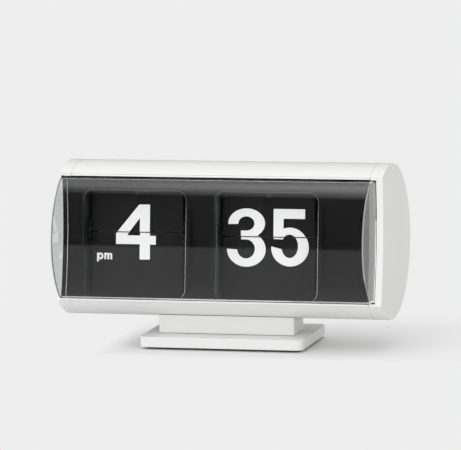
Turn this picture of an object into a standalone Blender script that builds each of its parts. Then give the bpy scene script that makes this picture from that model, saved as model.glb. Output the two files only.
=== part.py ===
"""Desk flip clock: a round tube housing on a flat stand, with two split-leaf displays.

Metres, +Z up, the front faces -Y. The origin is the middle of the stand's underside.
Everything in the housing is placed in the housing's own frame: its origin is the tube's
centre, Y runs to the rear and Z up, and the whole frame leans back by TILT.
"""
import math

import bmesh
import bpy
from mathutils import Matrix, Vector

MM = 0.001

# Clearances and shares that serve the whole model
FIT = 0.3 * MM
OVERRUN = 4.0 * MM
TILT = math.radians(7.6)

# Stand
PAD_T = 1.0 * MM
PAD_INSET = 2.5 * MM
BASE_W = 93.5 * MM
BASE_D = 53.7 * MM
BASE_H = 6.05 * MM
BASE_CORNER = 3.5 * MM
BASE_EDGE = 1.1 * MM
NECK_W = 77.8 * MM
NECK_D = 21.3 * MM
NECK_Y = -2.9 * MM
NECK_RISE = 8.45 * MM
NECK_EDGE = 0.8 * MM
STAND_SCREW_R = 1.5 * MM
STAND_SCREW_HEAD_R = 3.0 * MM
STAND_SCREW_HEAD_H = 2.0 * MM
STAND_SCREW_LENGTH = 11.0 * MM
STAND_SCREW_SPREAD_SHARE = 0.62

# Housing tube and its two end caps
CASE_LENGTH = 185.0 * MM
TUBE_R = 43.3 * MM
TUBE_WALL = 2.5 * MM
LIP_WALL = 1.2 * MM
LIP_DEPTH = 3.4 * MM
RIM_Y = -25.0 * MM
RIM_SAG = 3.3 * MM
CAP_WALL = 3.7 * MM
CAP_FLANGE = 3.3 * MM
CAP_EDGE = 1.3 * MM

# Clear cover
LENS_HALF_H = 33.3 * MM
LENS_WALL = 2.0 * MM
LENS_SHOULDER = 11.0 * MM
LENS_BULGE = 16.4 * MM
LENS_EDGE = 1.0 * MM

# Dial face with its two windows
DIAL_T = 1.6 * MM
WINDOW_SIDE = 3.2 * MM
WINDOW_TOP_MARGIN = 7.7 * MM
WINDOW_LOW_MARGIN = 0.5 * MM
WINDOW_CORNER = 5.0 * MM
WINDOW_EDGE = 0.45 * MM
NOTCH_W = 1.6 * MM
NOTCH_H = 4.8 * MM
NOTCH_INSET = 8.1 * MM
NOTCH_Z = 12.3 * MM

# Leaves and the discs that carry them
LEFT_END_ROOM = 7.6 * MM
RIGHT_END_ROOM = 25.9 * MM
DRUM_Z = 2.4 * MM
HOUR_HINGE_RISE = 0.7 * MM
MINUTE_HINGE_RISE = -0.7 * MM
LEAF_Y = -16.5 * MM
LEAF_L = 28.2 * MM
LEAF_T = 0.3 * MM
FRONT_LEAF_L = 22.4 * MM
LEAF_NOTCH_W = 3.2 * MM
LEAF_NOTCH_L = 3.4 * MM
LEAF_PITCH = 0.6 * MM
LEAF_ROOT = 0.15 * MM
LAST_LEAN = math.radians(154.0)
FAN_POWER = 1.2
RING_T = 0.4 * MM
RING_INSET = 1.0 * MM
PIVOT_R = 12.9 * MM
DISC_R = 15.0 * MM
DISC_T = 1.2 * MM
DISC_NOTCH = 1.3 * MM
HOUR_LEAVES = 24
MINUTE_LEAVES = 60
FRONT_SHARE = 0.08

# Axle, hubs and gears
AXLE_R = 1.2 * MM
ARBOR_R = 0.45 * MM
HUB_R = 2.4 * MM
GEAR_T = 1.6 * MM
DRIVE_MODULE = 0.6 * MM
DRIVE_PINION_TEETH = 10
DRIVE_GEAR_TEETH = 40
SET_MODULE = 1.0 * MM
SET_PINION_TEETH = 24
SET_GEAR_TEETH = 30
HOUR_PINION_TEETH = 8
HOUR_GEAR_TEETH = 48
STEP_PINION_TEETH = 10
STEP_GEAR_TEETH = 40
STEP_MODULE = 0.56 * MM
TOOTH_SHARE = 0.38
ADDENDUM_SHARE = 0.85
DEDENDUM_SHARE = 1.15
TOOTH_TIP_SHARE = 0.6
TOOTH_FOOT_SHARE = 1.6

# Setting wheel, which shows through a slot at the rear
WHEEL_T = 3.1 * MM
WHEEL_PROUD = 2.4 * MM
WHEEL_KNURLS = 24
KNURL_DEPTH = 0.6 * MM
SLOT_CLEAR = 0.7 * MM

# Frame plates, spacer rods and leaf fingers
PLATE_T = 1.6 * MM
LEFT_PLATE_GAP = 3.0 * MM
RIGHT_GEAR_GAP = 3.8 * MM
PLATE_GAP = 1.3 * MM
PLANE_GAP = 1.3 * MM
ROD_R = 1.5 * MM
ROD_Y = 22.0 * MM
ROD_Z = 31.0 * MM
RAIL_R = 1.2 * MM
RAIL_Y = -20.3 * MM
RAIL_Z = 32.8 * MM
FINGER_W = 2.1 * MM
FINGER_T = 0.4 * MM
FINGER_TIP_Z = 23.2 * MM
FINGER_GAP = 0.6 * MM

# Movement, battery and its door
MOVEMENT_T = 17.0 * MM
MOVEMENT_H = 36.0 * MM
MOVEMENT_FRONT_Y = -16.0 * MM
MOVEMENT_Z = 4.0 * MM
MOVEMENT_EDGE = 1.2 * MM
COVER_T = 1.4 * MM
BATTERY_R = 7.1 * MM
BATTERY_LENGTH = 49.0 * MM
BATTERY_NUB_R = 2.6 * MM
BATTERY_NUB_H = 1.3 * MM
TRAY_WALL = 1.2 * MM
TRAY_PLAY = 0.5 * MM
TRAY_LIP = 5.1 * MM
SPRING_R = 3.2 * MM
SPRING_LENGTH = 3.0 * MM
SPRING_WIRE_R = 0.35 * MM
SPRING_TURNS = 3
CONTACT_T = 0.5 * MM
DOOR_HALF_ANGLE = math.radians(38.0)
DOOR_MARGIN = 1.2 * MM

# How finely round things are drawn
TUBE_STEPS = 32
BOW_STEPS = 8
ROUND_STEPS = 12
RING_STEPS = 18
TURN_STEPS = 12

# Sizes worked out from the ones above
CASE_Z = PAD_T + BASE_H + NECK_RISE + TUBE_R
TUBE_INNER_R = TUBE_R - TUBE_WALL
RIM_HALF = math.sqrt(TUBE_R ** 2 - RIM_Y ** 2)
CAP_INNER_X = CASE_LENGTH / 2 - CAP_WALL
SEAM_X = CAP_INNER_X - CAP_FLANGE
INSIDE_X = CAP_INNER_X - FIT
NOTCH_X = INSIDE_X - NOTCH_INSET

# The planes of gears and plates between the displays, from left to right
PLANE_ORDER = ("hour_gear", "centre_plate", "step_gear", "wheel", "set_gear", "inner_plate")
PLANE_WIDTHS = (GEAR_T, PLATE_T, GEAR_T, WHEEL_T, GEAR_T, PLATE_T)

# Along the tube: the leaves take the width that the ends and the middle leave
DISC_ROOM = FIT + DISC_T
LEFT_ROOM = CAP_WALL + LEFT_END_ROOM + PLATE_T + LEFT_PLATE_GAP + DISC_ROOM
MIDDLE_ROOM = sum(PLANE_WIDTHS) + (len(PLANE_WIDTHS) + 1) * PLANE_GAP + 2 * DISC_ROOM
RIGHT_ROOM = DISC_ROOM + RIGHT_GEAR_GAP + GEAR_T + PLATE_GAP + PLATE_T + FIT + RIGHT_END_ROOM + FIT + CAP_WALL
LEAF_W = (CASE_LENGTH - LEFT_ROOM - MIDDLE_ROOM - RIGHT_ROOM) / 2
HOUR_X = -CASE_LENGTH / 2 + LEFT_ROOM + LEAF_W / 2
MINUTE_X = CASE_LENGTH / 2 - RIGHT_ROOM - LEAF_W / 2
DISC_OFFSET = LEAF_W / 2 + FIT + DISC_T / 2
LEFT_PLATE_X = HOUR_X - DISC_OFFSET - DISC_T / 2 - LEFT_PLATE_GAP - PLATE_T / 2
DRIVE_X = MINUTE_X + DISC_OFFSET + DISC_T / 2 + RIGHT_GEAR_GAP + GEAR_T / 2
RIGHT_PLATE_X = DRIVE_X + GEAR_T / 2 + PLATE_GAP + PLATE_T / 2
BAY_X = RIGHT_PLATE_X + PLATE_T / 2 + FIT

# Windows of the dial
DIAL_HALF = math.sqrt((TUBE_R - LIP_WALL) ** 2 - RIM_Y ** 2) - FIT
WINDOW_W = LEAF_W + 2 * WINDOW_SIDE
WINDOW_H = 2 * DIAL_HALF - WINDOW_TOP_MARGIN - WINDOW_LOW_MARGIN
WINDOW_Z = (WINDOW_LOW_MARGIN - WINDOW_TOP_MARGIN) / 2

# Drums and gears
DRUM_Y = LEAF_Y + PIVOT_R + FIT / 2
STEP_DISTANCE = STEP_MODULE * (STEP_PINION_TEETH + STEP_GEAR_TEETH) / 2
HOUR_MODULE = 2 * STEP_DISTANCE / (HOUR_PINION_TEETH + HOUR_GEAR_TEETH)
STEP_Y = DRUM_Y
STEP_Z = DRUM_Z + STEP_DISTANCE
DRIVE_DISTANCE = DRIVE_MODULE * (DRIVE_PINION_TEETH + DRIVE_GEAR_TEETH) / 2
DRIVE_Y = DRUM_Y
DRIVE_Z = DRUM_Z + DRIVE_DISTANCE
SET_DISTANCE = SET_MODULE * (SET_PINION_TEETH + SET_GEAR_TEETH) / 2
SET_Y = DRUM_Y + SET_DISTANCE
SET_Z = DRUM_Z
WHEEL_R = TUBE_R + WHEEL_PROUD - math.hypot(SET_Y, SET_Z)

# Battery bay: the tray stands against the right frame plate, and the movement against the tray
CELL_R = BATTERY_R + TRAY_PLAY
TRAY_X = BAY_X + TRAY_WALL + CELL_R
TRAY_HALF_H = (BATTERY_LENGTH + BATTERY_NUB_H + SPRING_LENGTH) / 2 + 2 * CONTACT_T + 2 * FIT + TRAY_WALL
TRAY_REAR_Y = math.sqrt((TUBE_INNER_R - FIT) ** 2 - TRAY_HALF_H ** 2)
BATTERY_Y = TRAY_REAR_Y - TRAY_LIP
TRAY_FRONT_Y = BATTERY_Y - CELL_R - TRAY_WALL
MOVEMENT_D = TRAY_FRONT_Y - FIT - MOVEMENT_FRONT_Y
MOVEMENT_Y = MOVEMENT_FRONT_Y + MOVEMENT_D / 2

# Local X of a flat outline becomes Y, its local Y becomes Z, and its thickness runs along X
ACROSS = Matrix(((0, 0, 1, 0), (1, 0, 0, 0), (0, 1, 0, 0), (0, 0, 0, 1)))
ALONG_X = Matrix.Rotation(math.pi / 2, 4, "Y")
UPRIGHT = Matrix.Identity(4)


def clear_scene():
    for thing in list(bpy.data.objects):
        bpy.data.objects.remove(thing, do_unlink=True)
    for group in list(bpy.data.collections):
        bpy.data.collections.remove(group)


def new_collection(name):
    group = bpy.data.collections.new(name)
    bpy.context.scene.collection.children.link(group)
    return group


def material(name, colour, roughness, metallic=0.0, clear=0.0):
    made = bpy.data.materials.new(name)
    made.use_nodes = True
    shader = made.node_tree.nodes["Principled BSDF"]
    shader.inputs["Base Color"].default_value = (*colour, 1.0)
    shader.inputs["Roughness"].default_value = roughness
    shader.inputs["Metallic"].default_value = metallic
    shader.inputs["Transmission Weight"].default_value = clear
    return made


def empty(name, location, tilt=0.0):
    made = bpy.data.objects.new(name, None)
    made.location = location
    made.rotation_euler = (tilt, 0.0, 0.0)
    PARTS.objects.link(made)
    return made


def place(name, mesh, location, look, parent, collection=None):
    """Makes an object of a mesh; look is (colour, roughness, metallic, clear)."""
    made = bpy.data.objects.new(name, mesh)
    made.location = location
    made.parent = parent
    (collection or PARTS).objects.link(made)
    mesh.materials.clear()
    mesh.materials.append(material(name, *look))
    return made


def cutter(name, mesh, location, parent):
    made = place(name, mesh, location, CUTTER, parent, CUTTERS)
    made.hide_render = True
    made.display_type = "WIRE"
    return made


def cut(piece, tool, operation="DIFFERENCE"):
    step = piece.modifiers.new(tool.name, "BOOLEAN")
    step.operation = operation
    step.solver = "EXACT"
    step.object = tool


def soften(piece, width, segments=2, test=None):
    """Rounds the sharp edges whose middles pass the test."""
    bm = bmesh.new()
    bm.from_mesh(piece.data)
    weight = bm.edges.layers.float.new("bevel_weight_edge")
    for edge in bm.edges:
        sharp = edge.is_manifold and edge.calc_face_angle() > math.radians(50.0)
        middle = (edge.verts[0].co + edge.verts[1].co) / 2
        edge[weight] = 1.0 if sharp and (test is None or test(middle)) else 0.0
    bm.to_mesh(piece.data)
    bm.free()
    step = piece.modifiers.new("soft_edges", "BEVEL")
    step.limit_method = "WEIGHT"
    step.width = width
    step.segments = segments
    step.use_clamp_overlap = True


def shade(piece, angle=math.radians(35.0)):
    piece.data.shade_smooth()
    piece.data.set_sharp_from_angle(angle=angle)


def slab_mesh(name, outlines, thickness, turn=ACROSS):
    """Extrudes closed outlines, the later ones being holes, as a filled 2D curve made a mesh."""
    curve = bpy.data.curves.new(name, "CURVE")
    curve.dimensions = "2D"
    curve.fill_mode = "BOTH"
    curve.extrude = thickness / 2
    for outline in outlines:
        spline = curve.splines.new("POLY")
        spline.points.add(len(outline) - 1)
        spline.use_cyclic_u = True
        for point, (u, v) in zip(spline.points, outline):
            point.co = (u, v, 0.0, 1.0)
    guide = bpy.data.objects.new(name, curve)
    PARTS.objects.link(guide)
    return curve_to_mesh(guide, turn)


def curve_to_mesh(guide, turn=UPRIGHT):
    graph = bpy.context.evaluated_depsgraph_get()
    mesh = bpy.data.meshes.new_from_object(guide.evaluated_get(graph))
    curve = guide.data
    bpy.data.objects.remove(guide, do_unlink=True)
    bpy.data.curves.remove(curve)
    bm = bmesh.new()
    bm.from_mesh(mesh)
    bmesh.ops.remove_doubles(bm, verts=bm.verts, dist=0.001 * MM)
    bmesh.ops.recalc_face_normals(bm, faces=bm.faces)
    bm.to_mesh(mesh)
    bm.free()
    mesh.transform(turn)
    return mesh


def block_mesh(name, size, centre=(0.0, 0.0, 0.0)):
    mesh = bpy.data.meshes.new(name)
    bm = bmesh.new()
    bmesh.ops.create_cube(bm, size=1.0, matrix=Matrix.Translation(centre) @ Matrix.Diagonal((*size, 1.0)))
    bm.to_mesh(mesh)
    bm.free()
    return mesh


def rod_mesh(name, radius, length, turn=ALONG_X, centres=((0.0, 0.0, 0.0),), steps=TURN_STEPS):
    mesh = bpy.data.meshes.new(name)
    bm = bmesh.new()
    for centre in centres:
        spot = Matrix.Translation(centre) @ turn
        bmesh.ops.create_cone(bm, cap_ends=True, segments=steps, radius1=radius, radius2=radius,
                              depth=length, matrix=spot)
    bm.to_mesh(mesh)
    bm.free()
    return mesh


def turned(name, profile, location, look, parent, turn=UPRIGHT, steps=TURN_STEPS):
    """A turned piece: the profile runs down its outer side, as (radius, height) pairs."""
    mesh = bpy.data.meshes.new(name)
    points = [(radius, 0.0, height) for radius, height in profile]
    mesh.from_pydata(points, [(i, i + 1) for i in range(len(points) - 1)], [])
    made = place(name, mesh, location, look, parent)
    made.rotation_euler = turn.to_euler()
    step = made.modifiers.new("turn", "SCREW")
    step.axis = "Z"
    step.angle = 2 * math.pi
    step.steps = steps
    step.render_steps = steps
    step.use_merge_vertices = True
    step.merge_threshold = 0.01 * MM
    return made


def circle(radius, steps=ROUND_STEPS, u=0.0, v=0.0):
    turns = [2 * math.pi * i / steps for i in range(steps)]
    return [(u + radius * math.cos(a), v + radius * math.sin(a)) for a in turns]


def arc(radius, start, end, steps, u=0.0, v=0.0):
    turns = [start + (end - start) * i / steps for i in range(steps + 1)]
    return [(u + radius * math.cos(a), v + radius * math.sin(a)) for a in turns]


def rounded_rectangle(width, height, corner, steps=4, u=0.0, v=0.0):
    points = []
    for quarter in range(4):
        su = 1 if quarter in (0, 3) else -1
        sv = 1 if quarter < 2 else -1
        start = quarter * math.pi / 2
        points += arc(corner, start, start + math.pi / 2, steps,
                      u + su * (width / 2 - corner), v + sv * (height / 2 - corner))
    return points


def bow(v, half, sag):
    """How far a shallow arc of half-chord half and sagitta sag stands off its chord at v."""
    radius = (half ** 2 + sag ** 2) / (2 * sag)
    return math.sqrt(max(radius ** 2 - v ** 2, 0.0)) - (radius - sag)


def rim_y(v, back=0.0):
    """The hollow front rim: furthest forward at its top and bottom ends."""
    return RIM_Y + bow(min(abs(v), RIM_HALF), RIM_HALF, RIM_SAG) + back


def rim_line(half, back, steps=BOW_STEPS):
    heights = [-half + 2 * half * i / steps for i in range(steps + 1)]
    return [(rim_y(v, back), v) for v in heights]


def gear_outline(teeth, module, phase):
    """Straight-flanked teeth; phase is the angle of one tooth's middle."""
    pitch_r = module * teeth / 2
    tip_r = pitch_r + ADDENDUM_SHARE * module
    root_r = pitch_r - DEDENDUM_SHARE * module
    pitch = 2 * math.pi / teeth
    tip = TOOTH_SHARE * TOOTH_TIP_SHARE * pitch / 2
    foot = TOOTH_SHARE * TOOTH_FOOT_SHARE * pitch / 2
    points = []
    for tooth in range(teeth):
        middle = phase + tooth * pitch
        for radius, turn in ((root_r, -foot), (tip_r, -tip), (tip_r, tip), (root_r, foot)):
            points.append((radius * math.cos(middle + turn), radius * math.sin(middle + turn)))
    return points


def gear(name, teeth, module, phase, thickness, bore, location, look, parent):
    outlines = [gear_outline(teeth, module, phase)]
    if bore:
        outlines.append(circle(bore))
    made = place(name, slab_mesh(name, outlines, thickness), location, look, parent)
    return made


def spread(start, end, widths):
    """The middles of pieces set between two faces with equal gaps."""
    gap = (end - start - sum(widths)) / (len(widths) + 1)
    middles = []
    edge = start
    for width in widths:
        middles.append(edge + gap + width / 2)
        edge += gap + width
    return middles


# The looks of the pieces: colour, roughness, metallic, clear
WHITE = ((0.86, 0.86, 0.85), 0.35)
CLEAR = ((0.95, 0.97, 0.97), 0.04, 0.0, 1.0)
BLACK = ((0.02, 0.02, 0.021), 0.45)
LEAF_BLACK = ((0.018, 0.018, 0.019), 0.5)
GREY = ((0.32, 0.33, 0.34), 0.5)
NATURAL = ((0.78, 0.76, 0.70), 0.45)
STEEL = ((0.62, 0.62, 0.62), 0.3, 1.0)
BRASS = ((0.78, 0.58, 0.26), 0.3, 1.0)
RUBBER = ((0.03, 0.03, 0.03), 0.9)
CELL = ((0.10, 0.24, 0.20), 0.35)
CUTTER = ((0.9, 0.2, 0.2), 0.5)


def shell_outline():
    """The tube's wall in section, open at the front, with a thin lip that frames the dial."""
    lip_r = TUBE_R - LIP_WALL
    shoulder_y = RIM_Y + LIP_DEPTH
    outer = math.acos(RIM_Y / TUBE_R)
    lip = math.acos(RIM_Y / lip_r)
    shoulder = math.acos(shoulder_y / lip_r)
    inner = math.acos(shoulder_y / TUBE_INNER_R)
    points = arc(TUBE_R, outer, -outer, TUBE_STEPS)
    points += arc(lip_r, -lip, -shoulder, 2)
    points += arc(TUBE_INNER_R, -inner, inner, TUBE_STEPS)
    points += arc(lip_r, shoulder, lip, 2)
    return points


def wall_outline(radius, back, steps=TUBE_STEPS):
    """A disc of the given radius cut by the hollow front rim, set back by back."""
    half = math.sqrt(radius ** 2 - (RIM_Y + back) ** 2)
    half = math.sqrt(radius ** 2 - rim_y(half, back) ** 2)
    corner = math.atan2(half, rim_y(half, back))
    return arc(radius, -corner, corner, steps) + rim_line(half, back)[::-1][1:-1]


def build_stand():
    top = PAD_T + BASE_H
    pad = rounded_rectangle(BASE_W - 2 * PAD_INSET, BASE_D - 2 * PAD_INSET, BASE_CORNER)
    place("base_pad", slab_mesh("base_pad", [pad], PAD_T, UPRIGHT), (0.0, 0.0, PAD_T / 2), RUBBER, None)

    height = BASE_H - FIT
    outline = rounded_rectangle(BASE_W, BASE_D, BASE_CORNER, 5)
    base = place("stand_base", slab_mesh("stand_base", [outline], height, UPRIGHT),
                 (0.0, 0.0, top - height / 2), WHITE, None)
    soften(base, BASE_EDGE, 2, lambda middle: abs(middle.z) > height / 2 - OVERRUN / 100)
    shade(base)

    lift = FIT
    reach = CASE_Z - top - lift
    neck = place("stand_neck", block_mesh("stand_neck", (NECK_W, NECK_D, reach)),
                 (0.0, NECK_Y, top + lift + reach / 2), WHITE, None)
    soften(neck, NECK_EDGE, 2, lambda middle: abs(middle.z) < reach / 4)
    saddle = cutter("cut_saddle", rod_mesh("cut_saddle", TUBE_R + FIT, CASE_LENGTH, steps=2 * TUBE_STEPS),
                    (0.0, 0.0, CASE_Z), None)
    cut(neck, saddle)

    spread_x = NECK_W * STAND_SCREW_SPREAD_SHARE / 2
    spots = [(side * spread_x, NECK_Y, 0.0) for side in (-1, 1)]
    head_top = PAD_T + FIT + STAND_SCREW_HEAD_H
    shank = rod_mesh("cut_screws", STAND_SCREW_R + FIT, 2 * STAND_SCREW_LENGTH, UPRIGHT, spots)
    heads = rod_mesh("cut_heads", STAND_SCREW_HEAD_R + FIT, 2 * (head_top + FIT), UPRIGHT, spots)
    shank_tool = cutter("cut_screws", shank, (0.0, 0.0, head_top), None)
    cut(base, cutter("cut_heads", heads, (0.0, 0.0, 0.0), None))
    cut(base, shank_tool)
    pit = rod_mesh("cut_neck_holes", STAND_SCREW_R + FIT, 2 * (STAND_SCREW_LENGTH + FIT - STAND_SCREW_HEAD_H),
                   UPRIGHT, spots)
    cut(neck, cutter("cut_neck_holes", pit, (0.0, 0.0, head_top), None))
    profile = [(0.0, STAND_SCREW_LENGTH), (STAND_SCREW_R, STAND_SCREW_LENGTH),
               (STAND_SCREW_R, STAND_SCREW_HEAD_H), (STAND_SCREW_HEAD_R, STAND_SCREW_HEAD_H),
               (STAND_SCREW_HEAD_R, 0.0), (0.0, 0.0)]
    for number, spot in enumerate(spots, 1):
        turned(f"stand_screw_{number}", profile, (spot[0], spot[1], PAD_T + FIT), STEEL, None)


def build_housing(case):
    length = 2 * (SEAM_X - FIT)
    tube = place("tube_housing", slab_mesh("tube_housing", [shell_outline()], length), (0.0, 0.0, 0.0),
                 WHITE, case)
    shade(tube)

    slot_x = PLANES["wheel"]
    away = math.hypot(SET_Y, SET_Z)
    near = (TUBE_INNER_R ** 2 + away ** 2 - WHEEL_R ** 2) / (2 * away)
    chord = math.sqrt(TUBE_INNER_R ** 2 - near ** 2)
    slot = block_mesh("cut_wheel_slot", (WHEEL_T + 2 * SLOT_CLEAR, TUBE_R, 2 * (chord + SLOT_CLEAR)))
    spot = (slot_x, SET_Y + TUBE_R / 2, near * SET_Z / away)
    cut(tube, cutter("cut_wheel_slot", slot, spot, case))

    opening = door_sector(TUBE_INNER_R - OVERRUN, TUBE_R + OVERRUN, DOOR_HALF_ANGLE)
    door_w = 2 * (CELL_R + DOOR_MARGIN)
    mesh = slab_mesh("cut_door", [opening], door_w + 2 * FIT)
    cut(tube, cutter("cut_door", mesh, (TRAY_X, 0.0, 0.0), case))

    for side, name in ((-1, "end_cap_left"), (1, "end_cap_right")):
        wall = slab_mesh(name, [wall_outline(TUBE_R, 0.0)], CAP_WALL)
        cap = place(name, wall, (side * (CAP_INNER_X + CAP_WALL / 2), 0.0, 0.0), WHITE, case)
        soften(cap, CAP_EDGE, 2, lambda middle, s=side: s * middle.x > CAP_WALL / 4)
        ring = slab_mesh(name + "_flange", [shell_outline()], CAP_FLANGE + FIT)
        flange = cutter(name + "_flange", ring, (side * (CAP_INNER_X - (CAP_FLANGE - FIT) / 2), 0.0, 0.0),
                        case)
        cut(cap, flange, "UNION")
        shade(cap)


def door_sector(inner_r, outer_r, half_angle):
    steps = 12
    return arc(outer_r, -half_angle, half_angle, steps) + arc(inner_r, half_angle, -half_angle, steps)


def build_door(case):
    """The battery door, whose origin is its hinge: the lower outer corner of the panel."""
    half = DOOR_HALF_ANGLE - FIT / TUBE_R
    hinge = (TUBE_R * math.cos(half), -TUBE_R * math.sin(half))
    width = 2 * (CELL_R + DOOR_MARGIN)
    mesh = slab_mesh("battery_door", [door_sector(TUBE_INNER_R, TUBE_R, half)], width)
    mesh.transform(Matrix.Translation((0.0, -hinge[0], -hinge[1])))
    door = place("battery_door", mesh, (TRAY_X, hinge[0], hinge[1]), WHITE, case)
    thumb = rod_mesh("cut_thumb", TUBE_WALL * 2, width / 2, ALONG_X)
    tool = cutter("cut_thumb", thumb, (TRAY_X, (TUBE_R + TUBE_WALL) * math.cos(half / 2) + FIT,
                                       (TUBE_R + TUBE_WALL) * math.sin(half / 2)), case)
    cut(door, tool)
    shade(door)


def lens_outline(inset):
    """The cover in section: flat shoulders, then a bulging front; inset gives the inside."""
    half = LENS_HALF_H - inset
    back = -FIT if inset == 0 else OVERRUN
    shoulder = RIM_Y - LENS_SHOULDER
    sag = LENS_BULGE - inset
    steps = 2 * BOW_STEPS
    heights = [half - 2 * half * i / steps for i in range(steps + 1)]
    front = [(shoulder - bow(v, half, sag), v) for v in heights]
    return rim_line(half, back) + front


def build_lens(case):
    length = 2 * INSIDE_X
    lens = place("lens", slab_mesh("lens", [lens_outline(0)], length), (0.0, 0.0, 0.0), CLEAR, case)
    soften(lens, LENS_EDGE, 2, lambda middle: middle.y < RIM_Y - FIT)
    hollow = slab_mesh("cut_lens", [lens_outline(LENS_WALL)], length - 2 * LENS_WALL)
    cut(lens, cutter("cut_lens", hollow, (0.0, 0.0, 0.0), case))
    shade(lens)


def build_dial(case):
    outline = rim_line(DIAL_HALF, FIT) + rim_line(DIAL_HALF, FIT + DIAL_T)[::-1]
    dial = place("dial_face", slab_mesh("dial_face", [outline], 2 * INSIDE_X), (0.0, 0.0, 0.0), BLACK, case)
    for name, x in (("cut_hour_window", HOUR_X), ("cut_minute_window", MINUTE_X)):
        window = rounded_rectangle(WINDOW_W, WINDOW_H, WINDOW_CORNER)
        mesh = slab_mesh(name, [window], 2 * OVERRUN + RIM_SAG, Matrix.Rotation(math.pi / 2, 4, "X"))
        cut(dial, cutter(name, mesh, (x, RIM_Y + RIM_SAG, WINDOW_Z), case))
    notch = block_mesh("cut_notch", (NOTCH_W, 2 * OVERRUN, NOTCH_H))
    cut(dial, cutter("cut_notch", notch, (NOTCH_X, RIM_Y + RIM_SAG, NOTCH_Z), case))
    edge = dial.modifiers.new("window_edge", "BEVEL")
    edge.limit_method = "ANGLE"
    edge.angle_limit = math.radians(60.0)
    edge.width = WINDOW_EDGE
    edge.segments = 1
    shade(dial)


def build_frame(case):
    """Four plates that fill the tube's section carry every shaft between them."""
    dial_back = 2 * FIT + DIAL_T
    holes = {
        "left": [circle(AXLE_R + FIT, TURN_STEPS, DRUM_Y, DRUM_Z)],
        "centre": [circle(AXLE_R + FIT, TURN_STEPS, DRUM_Y, DRUM_Z),
                   circle(ARBOR_R + FIT, TURN_STEPS, STEP_Y, STEP_Z),
                   circle(AXLE_R + FIT, TURN_STEPS, SET_Y, SET_Z)],
        "inner": [circle(HUB_R + FIT, TURN_STEPS, DRUM_Y, DRUM_Z),
                  circle(AXLE_R + FIT, TURN_STEPS, SET_Y, SET_Z)],
        "right": [circle(AXLE_R + FIT, TURN_STEPS, DRUM_Y, DRUM_Z),
                  circle(ARBOR_R + FIT, TURN_STEPS, DRIVE_Y, DRIVE_Z)],
    }
    middles = {"left": LEFT_PLATE_X, "centre": PLANES["centre_plate"], "inner": PLANES["inner_plate"],
               "right": RIGHT_PLATE_X}
    for side, extra in holes.items():
        name = f"frame_plate_{side}"
        outlines = [wall_outline(TUBE_INNER_R - FIT, dial_back)]
        outlines += extra
        outlines += [circle(ROD_R + FIT, TURN_STEPS, ROD_Y, s * ROD_Z) for s in (-1, 1)]
        outlines.append(circle(RAIL_R + FIT, TURN_STEPS, RAIL_Y, RAIL_Z))
        plate = place(name, slab_mesh(name, outlines, PLATE_T), (middles[side], 0.0, 0.0), GREY, case)
        shade(plate)

    length = RIGHT_PLATE_X - LEFT_PLATE_X + PLATE_T
    middle = (RIGHT_PLATE_X + LEFT_PLATE_X) / 2
    for side, name in ((1, "spacer_rod_upper"), (-1, "spacer_rod_lower")):
        rod = place(name, rod_mesh(name, ROD_R, length), (middle, ROD_Y, side * ROD_Z), STEEL, case)
        shade(rod)
    rail = place("finger_rail", rod_mesh("finger_rail", RAIL_R, length), (middle, RAIL_Y, RAIL_Z), STEEL, case)
    shade(rail)
    axle = place("main_axle", rod_mesh("main_axle", AXLE_R, length), (middle, DRUM_Y, DRUM_Z), STEEL, case)
    shade(axle)

    tip = LEAF_Y - LEAF_T / 2 - FINGER_GAP
    for name, x in (("hour_finger", HOUR_X), ("minute_finger", MINUTE_X)):
        clip_r = RAIL_R + FIT
        clip = arc(clip_r + FINGER_T, math.radians(150), math.radians(-60), 10, RAIL_Y, RAIL_Z)
        root = clip[-1][1]
        inner = arc(clip_r, math.radians(-60), math.radians(150), 10, RAIL_Y, RAIL_Z)
        blade = [(tip, root - FINGER_T), (tip, FINGER_TIP_Z), (tip - FINGER_T, FINGER_TIP_Z),
                 (tip - FINGER_T, inner[0][1] - FINGER_T)]
        finger = slab_mesh(name, [clip + blade + inner], FINGER_W)
        place(name, finger, (x, 0.0, 0.0), STEEL, case)


def leaf_spot(base, lean):
    """Places a leaf whose hinged edge is at base (y, z) and which leans back from upright by lean."""
    turn = Matrix.Rotation(-lean, 4, "X")
    size = Matrix.Diagonal((LEAF_W, LEAF_T, LEAF_L + LEAF_ROOT, 1.0))
    rise = Matrix.Translation((0.0, 0.0, (LEAF_L - LEAF_ROOT) / 2))
    return Matrix.Translation((0.0, *base)) @ turn @ rise @ size


def pack_spots(hinge_z, leaves):
    """Where the leaves of one display lie, counted from the front leaf over the top.

    The first few stand behind the front leaf. The next ones fan out over the top and the rear of
    the discs. The rest hang straight down, from the rear, from below and at the front.
    """
    step = 2 * math.pi / leaves
    standing = max(1, round(leaves * FRONT_SHARE))
    fanned = leaves / 2 - 1 - standing
    spots = []
    for k in range(1, leaves):
        turn = k * step
        y = DRUM_Y - PIVOT_R * math.cos(turn)
        z = DRUM_Z + PIVOT_R * math.sin(turn)
        if k < leaves / 2:
            y = max(y, LEAF_Y + k * LEAF_PITCH)
            z = max(z, hinge_z + LEAF_ROOT + FIT)
            share = max(k - standing, 0) / fanned
            spots.append(leaf_spot((y, z), LAST_LEAN * share ** FAN_POWER))
        elif turn < 1.5 * math.pi:
            y = min(y, DRUM_Y + PIVOT_R - (k - leaves / 2 + 1) * LEAF_PITCH)
            spots.append(leaf_spot((y, z), math.pi))
        else:
            y = max(y, LEAF_Y + (leaves - k + 1) * LEAF_PITCH)
            spots.append(leaf_spot((y, z), math.pi))
    return spots


def notched_leaf():
    """The falling leaf from its hinge up; its notch clears the finger in front of its free edge."""
    side = LEAF_W / 2
    notch = LEAF_NOTCH_W / 2
    top = FIT + FRONT_LEAF_L
    low = top - LEAF_NOTCH_L
    return [(-side, FIT), (side, FIT), (side, top), (notch, top), (notch, low), (-notch, low),
            (-notch, top), (-side, top)]


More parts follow.
